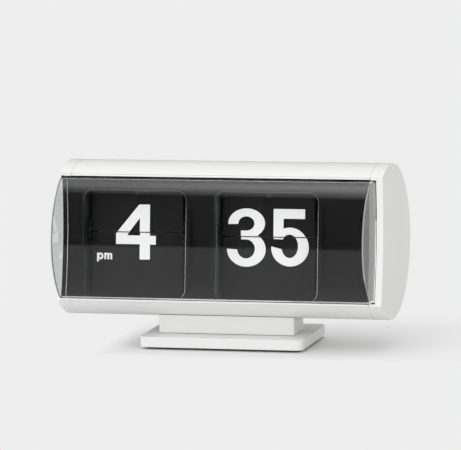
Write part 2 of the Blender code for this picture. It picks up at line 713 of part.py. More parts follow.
def build_leaves(case):
    """Each display: a front leaf that falls, the leaf below it, and the pack of the others.

    In the pack, a thin ring along the row of pivots holds the leaves together as one solid.
    """
    displays = (("hour", HOUR_X, DRUM_Z + HOUR_HINGE_RISE, HOUR_LEAVES),
                ("minute", MINUTE_X, DRUM_Z + MINUTE_HINGE_RISE, MINUTE_LEAVES))
    for name, x, hinge_z, leaves in displays:
        size = (LEAF_W, LEAF_T, LEAF_L)
        front = slab_mesh(name + "_front_leaf", [notched_leaf()], LEAF_T, Matrix.Rotation(math.pi / 2, 4, "X"))
        place(name + "_front_leaf", front, (x, LEAF_Y, hinge_z), LEAF_BLACK, case)
        lower = block_mesh(name + "_lower_leaf", size, (0.0, 0.0, -FIT - LEAF_L / 2))
        place(name + "_lower_leaf", lower, (x, LEAF_Y + LEAF_PITCH, hinge_z), LEAF_BLACK, case)

        first = math.acos((DRUM_Y - LEAF_Y - LEAF_PITCH) / PIVOT_R)
        last = math.acos((DRUM_Y - LEAF_Y - 2 * LEAF_PITCH) / PIVOT_R)
        start = math.pi - first
        end = -math.pi + last
        outline = arc(PIVOT_R + RING_T / 2, start, end, RING_STEPS, DRUM_Y, DRUM_Z)
        outline += arc(PIVOT_R - RING_T / 2, end, start, RING_STEPS, DRUM_Y, DRUM_Z)
        ring = slab_mesh(name + "_leaf_pack", [outline], LEAF_W - 2 * RING_INSET)
        pack = place(name + "_leaf_pack", ring, (x, 0.0, 0.0), LEAF_BLACK, case)
        mesh = bpy.data.meshes.new(name + "_leaves")
        bm = bmesh.new()
        for spot in pack_spots(hinge_z, leaves):
            bmesh.ops.create_cube(bm, size=1.0, matrix=spot)
        bm.to_mesh(mesh)
        bm.free()
        cut(pack, cutter(name + "_leaves", mesh, (x, 0.0, 0.0), case), "UNION")


def disc_outline(leaves, hinge_rise):
    """A leaf disc: its rim has one notch for each leaf's pivot."""
    step = 2 * math.pi / leaves
    start = math.pi - math.asin(hinge_rise / PIVOT_R)
    width = min(step / 5, LEAF_T / DISC_R + FIT / DISC_R)
    points = []
    for notch in range(leaves):
        middle = start + notch * step
        for radius, turn in ((DISC_R, -width), (DISC_R - DISC_NOTCH, 0.0), (DISC_R, width)):
            points.append((radius * math.cos(middle + turn), radius * math.sin(middle + turn)))
    return points


def build_drums(case):
    drums = (("hour", HOUR_X, HOUR_LEAVES, HOUR_HINGE_RISE), ("minute", MINUTE_X, MINUTE_LEAVES, MINUTE_HINGE_RISE))
    for name, x, leaves, rise in drums:
        for side, end in ((-1, "left"), (1, "right")):
            label = f"{name}_disc_{end}"
            outlines = [disc_outline(leaves, rise), circle(HUB_R + FIT)]
            place(label, slab_mesh(label, outlines, DISC_T), (x + side * DISC_OFFSET, DRUM_Y, DRUM_Z),
                  BLACK, case)

    start = LEFT_PLATE_X + PLATE_T / 2 + FIT
    end = PLANES["hour_gear"] + GEAR_T / 2 + FIT
    hub("hour_hub", start, end, case)
    start = PLANES["step_gear"] + GEAR_T / 2 + FIT
    end = DRIVE_X + GEAR_T / 2 + FIT
    hub("minute_hub", start, end, case)


def hub(name, start, end, case):
    outlines = [circle(HUB_R), circle(AXLE_R + FIT)]
    made = place(name, slab_mesh(name, outlines, end - start), ((start + end) / 2, DRUM_Y, DRUM_Z), NATURAL, case)
    shade(made)


def build_gears(case):
    """Every mesh has a tooth of the drum's gear in a gap of the other gear."""
    up = math.pi / 2
    bore = HUB_R + FIT
    gear("hour_gear", HOUR_GEAR_TEETH, HOUR_MODULE, up, GEAR_T, bore,
         (PLANES["hour_gear"], DRUM_Y, DRUM_Z), NATURAL, case)
    gear("step_pinion", STEP_PINION_TEETH, STEP_MODULE, up, GEAR_T, AXLE_R + FIT,
         (PLANES["step_gear"], DRUM_Y, DRUM_Z), BRASS, case)
    gear("step_gear", STEP_GEAR_TEETH, STEP_MODULE, -up + math.pi / STEP_GEAR_TEETH, GEAR_T,
         ARBOR_R + FIT, (PLANES["step_gear"], STEP_Y, STEP_Z), BRASS, case)
    gear("set_pinion", SET_PINION_TEETH, SET_MODULE, 0.0, GEAR_T, bore,
         (PLANES["set_gear"], DRUM_Y, DRUM_Z), NATURAL, case)
    gear("set_gear", SET_GEAR_TEETH, SET_MODULE, math.pi + math.pi / SET_GEAR_TEETH, GEAR_T,
         AXLE_R + FIT, (PLANES["set_gear"], SET_Y, SET_Z), NATURAL, case)
    gear("drive_gear", DRIVE_GEAR_TEETH, DRIVE_MODULE, up, GEAR_T, bore, (DRIVE_X, DRUM_Y, DRUM_Z), NATURAL, case)
    gear("drive_pinion", DRIVE_PINION_TEETH, DRIVE_MODULE, -up + math.pi / DRIVE_PINION_TEETH, GEAR_T,
         ARBOR_R + FIT, (DRIVE_X, DRIVE_Y, DRIVE_Z), BRASS, case)

    pinion = gear("step_arbor", HOUR_PINION_TEETH, HOUR_MODULE, -up + math.pi / HOUR_PINION_TEETH, GEAR_T, 0.0,
                  (PLANES["hour_gear"], STEP_Y, STEP_Z), STEEL, case)
    reach = PLANES["step_gear"] - PLANES["hour_gear"] + 2 * GEAR_T
    arbor = rod_mesh("step_arbor_shaft", ARBOR_R, reach)
    spot = ((PLANES["step_gear"] + PLANES["hour_gear"]) / 2, STEP_Y, STEP_Z)
    cut(pinion, cutter("step_arbor_shaft", arbor, spot, case), "UNION")

    outline = []
    for k in range(WHEEL_KNURLS):
        for part, radius in ((0.0, WHEEL_R), (0.45, WHEEL_R), (0.6, WHEEL_R - KNURL_DEPTH), (0.85, WHEEL_R - KNURL_DEPTH)):
            turn = 2 * math.pi * (k + part) / WHEEL_KNURLS
            outline.append((radius * math.cos(turn), radius * math.sin(turn)))
    wheel = slab_mesh("setting_wheel", [outline, circle(AXLE_R + FIT)], WHEEL_T)
    place("setting_wheel", wheel, (PLANES["wheel"], SET_Y, SET_Z), WHITE, case)
    start = PLANES["centre_plate"] - PLATE_T / 2
    end = PLANES["inner_plate"] + PLATE_T / 2
    shaft = rod_mesh("setting_shaft", AXLE_R, end - start)
    place("setting_shaft", shaft, ((start + end) / 2, SET_Y, SET_Z), STEEL, case)


def build_movement(case):
    """The electric movement: a closed module whose output shaft reaches the drive pinion."""
    centre = (BAY_X + MOVEMENT_T / 2, MOVEMENT_Y, MOVEMENT_Z)
    body = place("movement_case", block_mesh("movement_case", (MOVEMENT_T, MOVEMENT_D, MOVEMENT_H)), centre,
                 GREY, case)
    soften(body, MOVEMENT_EDGE, 2)
    cover_x = BAY_X + MOVEMENT_T + FIT + COVER_T / 2
    inset = 2 * MOVEMENT_EDGE
    outline = rounded_rectangle(MOVEMENT_D - inset, MOVEMENT_H - inset, inset)
    cover = slab_mesh("movement_cover", [outline], COVER_T)
    place("movement_cover", cover, (cover_x, MOVEMENT_Y, MOVEMENT_Z), NATURAL, case)

    start = DRIVE_X - GEAR_T
    end = BAY_X - FIT / 2
    shaft = rod_mesh("drive_shaft", ARBOR_R, end - start)
    place("drive_shaft", shaft, ((start + end) / 2, DRIVE_Y, DRIVE_Z), STEEL, case)


def build_battery(case):
    """A cylindrical cell stands in a tray that opens to the rear, between two contacts."""
    outer = 2 * (CELL_R + TRAY_WALL)
    depth = TRAY_REAR_Y - TRAY_FRONT_Y
    tray = place("battery_tray", block_mesh("battery_tray", (outer, depth, 2 * TRAY_HALF_H)),
                 (TRAY_X, TRAY_FRONT_Y + depth / 2, 0.0), BLACK, case)
    room = 2 * (TRAY_HALF_H - TRAY_WALL)
    bed = rod_mesh("cut_tray_bed", CELL_R, room, UPRIGHT, steps=ROUND_STEPS)
    cut(tray, cutter("cut_tray_bed", bed, (TRAY_X, BATTERY_Y, 0.0), case))
    mouth = block_mesh("cut_tray_mouth", (2 * CELL_R, depth, room))
    cut(tray, cutter("cut_tray_mouth", mouth, (TRAY_X, BATTERY_Y + depth / 2, 0.0), case))

    top = room / 2 - FIT - CONTACT_T - FIT
    low = top - BATTERY_NUB_H - BATTERY_LENGTH
    profile = [(0.0, top), (BATTERY_NUB_R, top), (BATTERY_NUB_R, top - BATTERY_NUB_H),
               (BATTERY_R, top - BATTERY_NUB_H), (BATTERY_R, low), (0.0, low)]
    turned("battery", profile, (TRAY_X, BATTERY_Y, 0.0), CELL, case, steps=ROUND_STEPS)
    plate = (1.2 * BATTERY_R, 1.2 * BATTERY_R, CONTACT_T)
    place("contact_plate", block_mesh("contact_plate", plate),
          (TRAY_X, BATTERY_Y, room / 2 - FIT - CONTACT_T / 2), STEEL, case)

    bottom = -room / 2 + FIT + SPRING_WIRE_R
    rise = low - FIT - SPRING_WIRE_R - bottom
    curve = bpy.data.curves.new("contact_spring", "CURVE")
    curve.dimensions = "3D"
    curve.bevel_depth = SPRING_WIRE_R
    curve.bevel_resolution = 1
    curve.use_fill_caps = True
    per_turn = 10
    count = SPRING_TURNS * per_turn + 1
    spline = curve.splines.new("POLY")
    spline.points.add(count - 1)
    for i, point in enumerate(spline.points):
        share = i / (count - 1)
        radius = SPRING_R * (1.0 - share / 2)
        turn = 2 * math.pi * i / per_turn
        point.co = (radius * math.cos(turn), radius * math.sin(turn), bottom + rise * share, 1.0)
    guide = bpy.data.objects.new("contact_spring", curve)
    PARTS.objects.link(guide)
    place("contact_spring", curve_to_mesh(guide), (TRAY_X, BATTERY_Y, 0.0), STEEL, case)


clear_scene()
PARTS = new_collection("flip_clock")
CUTTERS = new_collection("cutters")

ROOM = (HOUR_X + DISC_OFFSET + DISC_T / 2, MINUTE_X - DISC_OFFSET - DISC_T / 2)
PLANES = dict(zip(PLANE_ORDER, spread(*ROOM, PLANE_WIDTHS)))

CASE = empty("case_frame", (0.0, 0.0, CASE_Z), -TILT)
build_stand()
build_housing(CASE)
build_door(CASE)
build_lens(CASE)
build_dial(CASE)
build_frame(CASE)
build_leaves(CASE)
build_drums(CASE)
build_gears(CASE)
build_movement(CASE)
build_battery(CASE)
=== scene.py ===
"""The looks of the desk flip clock: a white tube on a flat stand with two split-leaf displays."""
import math

import bmesh
import bpy
from mathutils import Matrix, Vector


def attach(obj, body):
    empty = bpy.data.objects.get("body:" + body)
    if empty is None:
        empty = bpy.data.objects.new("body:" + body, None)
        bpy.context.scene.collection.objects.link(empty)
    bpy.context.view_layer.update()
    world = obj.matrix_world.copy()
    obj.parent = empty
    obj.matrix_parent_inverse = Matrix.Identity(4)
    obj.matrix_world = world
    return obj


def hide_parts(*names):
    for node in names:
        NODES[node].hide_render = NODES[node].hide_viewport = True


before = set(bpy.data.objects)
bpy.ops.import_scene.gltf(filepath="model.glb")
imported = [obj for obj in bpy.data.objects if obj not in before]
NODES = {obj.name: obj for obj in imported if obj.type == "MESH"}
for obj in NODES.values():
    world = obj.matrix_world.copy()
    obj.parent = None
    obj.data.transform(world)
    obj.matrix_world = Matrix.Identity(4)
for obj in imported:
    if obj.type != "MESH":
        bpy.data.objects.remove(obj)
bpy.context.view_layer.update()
MM = 0.001

# The housing's own frame: its origin is the tube's centre, and it leans back by TILT
TILT = math.radians(7.6)
CASE = Matrix.Translation((0.0, 0.0, 58.8 * MM)) @ Matrix.Rotation(-TILT, 4, "X")
ALONG_TUBE = (1.0, 0.0, 0.0)
ACROSS_TUBE = (0.0, 1.0, 1.0)
REARWARD = (0.0, math.cos(TILT), -math.sin(TILT))
FORWARD = (0.0, -math.cos(TILT), math.sin(TILT))
FIT = 0.3 * MM

# The tube: its radius, the skin that is shaded as a true round, and its white lip under the cover, painted
# black as shade
TUBE_R = 43.3 * MM
SKIN_R = 43.1 * MM
TUBE_SKIN_HALF = 92.0 * MM
CAP_SKIN_HALF = 91.2 * MM
LIP_R = 42.3 * MM
LIP_FRONT = -18.0 * MM
CAP_LIP_R = 42.2 * MM
CAP_LIP_X = -91.2 * MM
FACES_FORWARD = 0.6

# The joints between the tube and its end caps
SEAM_R = 43.1 * MM
SEAM_X = (85.0 * MM, 85.7 * MM)
SEAM_SPAN = 250
SEAM_STEPS = 64

# The curved rim on which the dial and the cover lie
RIM_Y = -25.0 * MM
RIM_SAG = 3.3 * MM
RIM_HALF = math.sqrt(TUBE_R ** 2 - RIM_Y ** 2)

# The cover in the housing's frame: the part's outer form, with thinner walls than the part's
COVER_HALF_X = 88.5 * MM
COVER_HALF_H = 33.3 * MM
COVER_WALL = 1.1 * MM
COVER_END_WALL = 0.9 * MM
COVER_SHOULDER = 11.0 * MM
COVER_BULGE = 16.4 * MM
COVER_EDGE = 1.0 * MM
COVER_EDGE_STEPS = 4
COVER_SHARP = math.radians(35.0)
COVER_STEPS = 64
END_FACING = 0.97
EDGE_FACE_AREA = 10.0 * MM ** 2

# The windows in the dial, and the strip along their rounded edges
HOUR_X, MINUTE_X = -49.0 * MM, 26.4 * MM
DIAL_HALF = 33.57 * MM
WINDOW_W, WINDOW_H, WINDOW_CORNER, WINDOW_Z = 58.6 * MM, 58.94 * MM, 5.0 * MM, -3.6 * MM
ROUND_R = 0.9 * MM
ROUND_PROUD = 0.15 * MM
RAMP_REACH = 3.0 * MM
STRIP_SINK = 0.02 * MM
QUARTER_STEPS = 12

# The leaves' front faces and hinge lines, and the ink on them
LEAF_FRONT = -16.65 * MM
LOWER_FRONT = -16.05 * MM
HOUR_HINGE, MINUTE_HINGE = 3.1 * MM, 1.7 * MM
HINGE_BARE = 0.28 * MM
INK_T = 0.06 * MM
INK_OFF = 0.01 * MM
INK_WELD = 0.0005 * MM
ARC_STEPS = 28

# The camera, fitted to the photograph
YAW, PITCH, ROLL = math.radians(15.53), math.radians(8.62), math.radians(-1.40)
AIM_Z = 60.0 * MM
AIM_UP = 6.4 * MM
DISTANCE = 2575.0 * MM
LENS, SENSOR, CLIP_END = 361.6, 36.0, 50.0

# The lamps: name, place, size, power, and the point that each faces
LAMP_TARGET = (0.0, 0.0, 0.05)
LAMPS = (("key", (-0.9, -1.1, 1.9), (1.3, 1.3), 4.0, LAMP_TARGET),
         ("front_fill", (-0.3, -2.3, 0.7), (1.8, 0.9), 6.7, LAMP_TARGET),
         ("low_fill", (-0.25, -1.3, 0.07), (1.4, 0.12), 1.0, (0.0, 0.0, 0.04)),
         ("top_soft", (0.2, 0.2, 1.8), (1.8, 1.4), 3.0, LAMP_TARGET))

# The floor: it shows its shadows near the clock, and an even glow behind, to the left and in front
FLOOR_SIZE = 12.0
FLOOR_Z = -0.0001
GLOW_BEHIND = (0.040, 0.085)
GLOW_LEFT = (-0.050, -0.072)
GLOW_FRONT = (-0.029, -0.050)
FLOOR_EDGE = 1.05
FLOOR_EDGE_SOFT = 0.02

# The world's light, and what mirrored rays see of the floor, the front, the ceiling and the left
AMBIENT = 0.94
SIDE_FALL = 0.10
FLOOR_MIRROR = 0.41
FRONT_MIRROR = 0.012
TOP_MIRROR = 2.4
TOP_FROM, TOP_TO = 0.935, 0.975
SIDE_MIRROR = 3.2
SIDE_FROM, SIDE_TO = -0.55, -0.80


def srgb(*levels):
    """Display levels from 0 to 255 as linear colour."""
    out = []
    for level in levels:
        v = level / 255
        out.append(v / 12.92 if v <= 0.04045 else ((v + 0.055) / 1.055) ** 2.4)
    return (*out, 1.0)


SHELL_WHITE = srgb(238, 238, 237)
# The dial's own black, also used as the painted shade on the left cap's front face
DIAL_AND_SHADE_BLACK = srgb(19, 19, 21)
# Painted shade, laid on the white tube's lip under the cover
LIP_SHADE_BLACK = srgb(18, 18, 19)
SEEN = srgb(238, 238, 238)
WHITE = srgb(255, 255, 255)


def ramp(tree, value, start, end, low=0.0, high=1.0, kind="LINEAR"):
    """Goes from low to high while value goes from start to end."""
    made = tree.nodes.new("ShaderNodeMapRange")
    made.interpolation_type = kind
    for name, number in (("From Min", start), ("From Max", end), ("To Min", low), ("To Max", high)):
        made.inputs[name].default_value = number
    tree.links.new(value, made.inputs["Value"])
    return made.outputs["Result"]


def maths(tree, operation, first, second, clamp=False):
    """A maths node over two linked values."""
    made = tree.nodes.new("ShaderNodeMath")
    made.operation = operation
    made.use_clamp = clamp
    tree.links.new(first, made.inputs[0])
    tree.links.new(second, made.inputs[1])
    return made.outputs["Value"]


def mixed(tree, factor, first, second):
    """The first shader where factor is 0, and the second where it is 1."""
    made = tree.nodes.new("ShaderNodeMixShader")
    for value, socket in zip((factor, first, second), made.inputs):
        tree.links.new(value, socket)
    return made.outputs["Shader"]


class Look:
    """A Principled material with noise on its colour, roughness and relief."""

    def __init__(self, name, colour, roughness, metallic=0.0, specular=0.5, coat=0.0):
        self.material = bpy.data.materials.new(name)
        self.material.use_nodes = True
        self.tree = self.material.node_tree
        self.shader = self.tree.nodes["Principled BSDF"]
        self.colour, self.roughness = colour, roughness
        self.shader.inputs["Base Color"].default_value = colour
        self.shader.inputs["Roughness"].default_value = roughness
        self.shader.inputs["Metallic"].default_value = metallic
        self.shader.inputs["Specular IOR Level"].default_value = specular
        self.shader.inputs["Coat Weight"].default_value = coat
        self.shader.inputs["Coat Roughness"].default_value = 0.08
        self.space = self.node("ShaderNodeTexCoord").outputs["Object"]

    def node(self, kind, **values):
        made = self.tree.nodes.new(kind)
        for key, value in values.items():
            setattr(made, key, value)
        return made

    def link(self, out, into):
        self.tree.links.new(out, into)

    def noise(self, scale, detail, stretch):
        mapping = self.node("ShaderNodeMapping")
        mapping.inputs["Scale"].default_value = stretch
        self.link(self.space, mapping.inputs["Vector"])
        made = self.node("ShaderNodeTexNoise")
        made.inputs["Scale"].default_value = scale
        made.inputs["Detail"].default_value = detail
        self.link(mapping.outputs["Vector"], made.inputs["Vector"])
        return made.outputs["Fac"]

    def mottle(self, scale, share, stretch=(1.0, 1.0, 1.0)):
        """Varies the colour by this share about its own value."""
        mix = self.node("ShaderNodeMixRGB", blend_type="MULTIPLY")
        mix.inputs["Fac"].default_value = 1.0
        mix.inputs["Color1"].default_value = self.colour
        value = ramp(self.tree, self.noise(scale, 3.0, stretch), 0.0, 1.0, 1.0 - share, 1.0 + share)
        self.link(value, mix.inputs["Color2"])
        self.link(mix.outputs["Color"], self.shader.inputs["Base Color"])
        return self

    def rough(self, scale, spread, stretch=(1.0, 1.0, 1.0)):
        """Varies the roughness by this spread about its own value."""
        low, high = self.roughness - spread, self.roughness + spread
        value = ramp(self.tree, self.noise(scale, 2.0, stretch), 0.0, 1.0, low, high)
        self.link(value, self.shader.inputs["Roughness"])
        return self

    def grain(self, scale, height, stretch=(1.0, 1.0, 1.0)):
        """Adds a fine relief of this height."""
        bump = self.node("ShaderNodeBump")
        bump.inputs["Strength"].default_value = 1.0
        bump.inputs["Distance"].default_value = height
        self.link(self.noise(scale, 2.0, stretch), bump.inputs["Height"])
        self.link(bump.outputs["Normal"], self.shader.inputs["Normal"])
        return self

    def put(self, *names):
        for name in names:
            slots = NODES[name].data.materials
            if not slots:
                slots.append(self.material)
            for i in range(len(slots)):
                NODES[name].material_slots[i].link = "OBJECT"
                NODES[name].material_slots[i].material = self.material
        return self


def from_axis(look):
    """The point's offset from the tube's centre, and the part of it that is across the tube."""
    centre = look.node("ShaderNodeVectorMath", operation="SUBTRACT")
    centre.inputs[1].default_value = CASE.translation
    look.link(look.space, centre.inputs[0])
    across = look.node("ShaderNodeVectorMath", operation="MULTIPLY")
    across.inputs[1].default_value = ACROSS_TUBE
    look.link(centre.outputs["Vector"], across.inputs[0])
    return centre.outputs["Vector"], across.outputs["Vector"]


def both_tests(look, first, second):
    """1 where both tests of (value, operation, limit) hold, and 0 elsewhere."""
    made = []
    for value, operation, limit in (first, second):
        test = look.node("ShaderNodeMath", operation=operation)
        test.inputs[1].default_value = limit
        look.link(value, test.inputs[0])
        made.append(test.outputs["Value"])
    return maths(look.tree, "MULTIPLY", *made)


def length_of(look, vector):
    made = look.node("ShaderNodeVectorMath", operation="LENGTH")
    look.link(vector, made.inputs[0])
    return made.outputs["Value"]


def along(look, vector, direction):
    made = look.node("ShaderNodeVectorMath", operation="DOT_PRODUCT")
    made.inputs[1].default_value = direction
    look.link(vector, made.inputs[0])
    return made.outputs["Value"]


def blacken(look, where, colour):
    """Lays a dark colour over the look's own where the value is 1, as painted shade."""
    dark = look.node("ShaderNodeMixRGB")
    look.link(where, dark.inputs["Fac"])
    look.link(look.shader.inputs["Base Color"].links[0].from_socket, dark.inputs["Color1"])
    dark.inputs["Color2"].default_value = colour
    look.link(dark.outputs["Color"], look.shader.inputs["Base Color"])


def paint_seat_shade(look):
    """Paints shade in black on the tube's white lip under the cover: closer in than LIP_R and in front of
    LIP_FRONT.
    """
    centre, across = from_axis(look)
    depth = along(look, centre, REARWARD)
    where = both_tests(look, (length_of(look, across), "LESS_THAN", LIP_R), (depth, "LESS_THAN", LIP_FRONT))
    blacken(look, where, LIP_SHADE_BLACK)


def paint_cap_front_shade(look):
    """Paints shade in the dial's black on the left cap's white front face: right of CAP_LIP_X and closer in
    than CAP_LIP_R.
    """
    centre, across = from_axis(look)
    front = along(look, look.node("ShaderNodeNewGeometry").outputs["Normal"], FORWARD)
    place = along(look, centre, ALONG_TUBE)
    face = both_tests(look, (place, "GREATER_THAN", CAP_LIP_X), (front, "GREATER_THAN", FACES_FORWARD))
    radius = length_of(look, across)
    where = both_tests(look, (face, "GREATER_THAN", 0.5), (radius, "LESS_THAN", CAP_LIP_R))
    blacken(look, where, DIAL_AND_SHADE_BLACK)


def round_skin(look, half_length):
    """Shades the outer skin, up to half_length from the middle, as a true round instead of flat steps."""
    centre, across = from_axis(look)
    size = look.node("ShaderNodeMath", operation="ABSOLUTE")
    look.link(along(look, centre, ALONG_TUBE), size.inputs[0])
    outward = look.node("ShaderNodeVectorMath", operation="NORMALIZE")
    look.link(across, outward.inputs[0])
    mix = look.node("ShaderNodeMixRGB")
    outside = (length_of(look, across), "GREATER_THAN", SKIN_R)
    inside_ends = (size.outputs["Value"], "LESS_THAN", half_length)
    look.link(both_tests(look, outside, inside_ends), mix.inputs["Fac"])
    look.link(look.node("ShaderNodeNewGeometry").outputs["Normal"], mix.inputs["Color1"])
    look.link(outward.outputs["Vector"], mix.inputs["Color2"])
    bump = look.shader.inputs["Normal"].links[0].from_node
    look.link(mix.outputs["Color"], bump.inputs["Normal"])


def white_shell(name):
    """Smooth white moulded plastic, as on the tube, its caps and its door."""
    look = Look(name, SHELL_WHITE, 0.36, coat=0.12).mottle(60, 0.006).rough(300, 0.03)
    return look.grain(2600, 0.006 * MM)


white_shell("shell_white").put("battery_door")
TUBE = white_shell("tube_white").put("tube_housing")
# Painted shade: the tube's white lip under the cover turns black
paint_seat_shade(TUBE)
round_skin(TUBE, TUBE_SKIN_HALF)
round_skin(white_shell("cap_white").put("end_cap_right"), CAP_SKIN_HALF)
CAP_LEFT = white_shell("cap_left_white").put("end_cap_left")
round_skin(CAP_LEFT, CAP_SKIN_HALF)
# Painted shade: the left cap's white front face inside the rim turns black
paint_cap_front_shade(CAP_LEFT)

# Each look has a colour and a roughness. Then mottle, rough and grain each take the noise's scale
# and an amount: a share of the colour, a spread of the roughness, and a height of the relief
SEAM = Look("seam_white", srgb(228, 228, 227), 0.5).mottle(60, 0.01).grain(2600, 0.006 * MM)
STAND = Look("stand_white", srgb(236, 236, 235), 0.4).mottle(60, 0.006).rough(300, 0.03)
STAND.grain(2600, 0.008 * MM).put("stand_base", "stand_neck")
WHEEL = Look("wheel_white", srgb(224, 224, 222), 0.5).mottle(80, 0.02).grain(1800, 0.01 * MM)
WHEEL.put("setting_wheel")
PAD = Look("pad_rubber", srgb(70, 70, 70), 0.85).mottle(200, 0.1).grain(1500, 0.03 * MM)
PAD.put("base_pad")
DIAL = Look("dial_dark", DIAL_AND_SHADE_BLACK, 0.42, specular=0.3).mottle(120, 0.05).rough(400, 0.05)
DIAL.grain(2200, 0.006 * MM).put("dial_face")
LEAF = Look("leaf_dark", srgb(25, 25, 26), 0.5, specular=0.3).mottle(90, 0.06).rough(300, 0.05)
LEAF.grain(900, 0.006 * MM).put("hour_front_leaf", "minute_front_leaf", "hour_lower_leaf",
                                "minute_lower_leaf", "hour_leaf_pack", "minute_leaf_pack")
DISC = Look("disc_dark", srgb(24, 24, 26), 0.45, specular=0.3).mottle(120, 0.08).grain(1200, 0.01 * MM)
DISC.put("hour_disc_left", "hour_disc_right", "minute_disc_left", "minute_disc_right", "battery_tray")
GREY = Look("frame_grey", srgb(96, 99, 101), 0.5).mottle(80, 0.05).rough(200, 0.06)
GREY.grain(1500, 0.01 * MM).put("frame_plate_left", "frame_plate_centre", "frame_plate_inner",
                                "frame_plate_right", "movement_case")
ACETAL = Look("acetal", srgb(214, 209, 198), 0.42).mottle(80, 0.03).grain(1200, 0.006 * MM)
ACETAL.put("hour_hub", "minute_hub", "hour_gear", "set_pinion", "set_gear", "drive_gear", "movement_cover")
BRASS = Look("brass", srgb(202, 164, 88), 0.28, 1.0).mottle(300, 0.06).rough(500, 0.08)
BRASS.grain(900, 0.004 * MM, (1, 8, 8)).put("step_pinion", "step_gear", "drive_pinion")
STEEL = Look("steel", srgb(176, 178, 180), 0.3, 1.0).mottle(300, 0.05).rough(500, 0.08)
STEEL.grain(900, 0.004 * MM, (1, 8, 8))
STEEL.put("main_axle", "spacer_rod_upper", "spacer_rod_lower", "finger_rail", "step_arbor",
          "setting_shaft", "drive_shaft", "contact_plate", "contact_spring", "stand_screw_1",
          "stand_screw_2")
DARK_STEEL = Look("finger_dark", srgb(58, 58, 60), 0.45, 0.4).mottle(300, 0.05).grain(900, 0.004 * MM)
DARK_STEEL.put("hour_finger", "minute_finger")
CELL = Look("cell_green", srgb(40, 84, 70), 0.3, coat=0.3).mottle(120, 0.05).rough(300, 0.05)
CELL.put("battery")
INK = Look("ink_white", srgb(248, 248, 247), 0.55, specular=0.3).mottle(200, 0.01).rough(600, 0.04)
ROUND_EDGE = Look("window_edge", srgb(30, 30, 32), 0.22, specular=1.0, coat=1.0).mottle(200, 0.05)
ROUND_EDGE.rough(400, 0.04)


def clear_look():
    """Clear moulded plastic that lets the lamps' light through to what is behind it."""
    look = Look("cover_clear", srgb(253, 254, 254), 0.02)
    look.shader.inputs["Transmission Weight"].default_value = 1.0
    look.shader.inputs["IOR"].default_value = 1.45
    look.rough(40, 0.01)
    path = look.node("ShaderNodeLightPath")
    through = look.node("ShaderNodeBsdfTransparent")
    through.inputs["Color"].default_value = (0.98, 0.98, 0.98, 1.0)
    straight = maths(look.tree, "MAXIMUM", path.outputs["Is Shadow Ray"], path.outputs["Is Reflection Ray"])
    shader = mixed(look.tree, straight, look.shader.outputs["BSDF"], through.outputs["BSDF"])
    look.link(shader, look.tree.nodes["Material Output"].inputs["Surface"])
    return look


CLEAR = clear_look()
CLEAR.put("lens")
# Painted reflection: a grey, partly clear look that stands in for the light the cover's clear edge reflects
# and bends
PAINTED_EDGE_REFLECTION = Look("cover_edge_painted_reflection", srgb(150, 151, 152), 0.3).mottle(200, 0.03).rough(300, 0.05)
PAINTED_EDGE_REFLECTION.shader.inputs["Transmission Weight"].default_value = 0.35


def in_scene(name, data):
    made = bpy.data.objects.new(name, data)
    bpy.context.scene.collection.objects.link(made)
    return made


def case_mesh(name, bm):
    """A smooth mesh, moved from the housing's frame to the clock's."""
    mesh = bpy.data.meshes.new(name)
    bm.to_mesh(mesh)
    bm.free()
    mesh.transform(CASE)
    mesh.shade_smooth()
    return mesh


def bow(v, half, sag):
    """How far a shallow arc of half-chord half and sagitta sag stands off its chord at v."""
    radius = (half ** 2 + sag ** 2) / (2 * sag)
    return math.sqrt(max(radius ** 2 - v ** 2, 0.0)) - (radius - sag)


def rim_y(v):
    return RIM_Y + bow(v, RIM_HALF, RIM_SAG)


def cover_loop(bm, inset, x):
    """Points round the cover's section: up its open back, then down its front."""
    half = COVER_HALF_H - inset
    heights = [half * (2 * i / COVER_STEPS - 1) for i in range(COVER_STEPS + 1)]
    points = [(rim_y(v) - FIT, v) for v in heights]
    points += [(RIM_Y - COVER_SHOULDER - bow(v, half, COVER_BULGE - inset), v) for v in heights[::-1]]
    return [bm.verts.new((x, y, v)) for y, v in points]


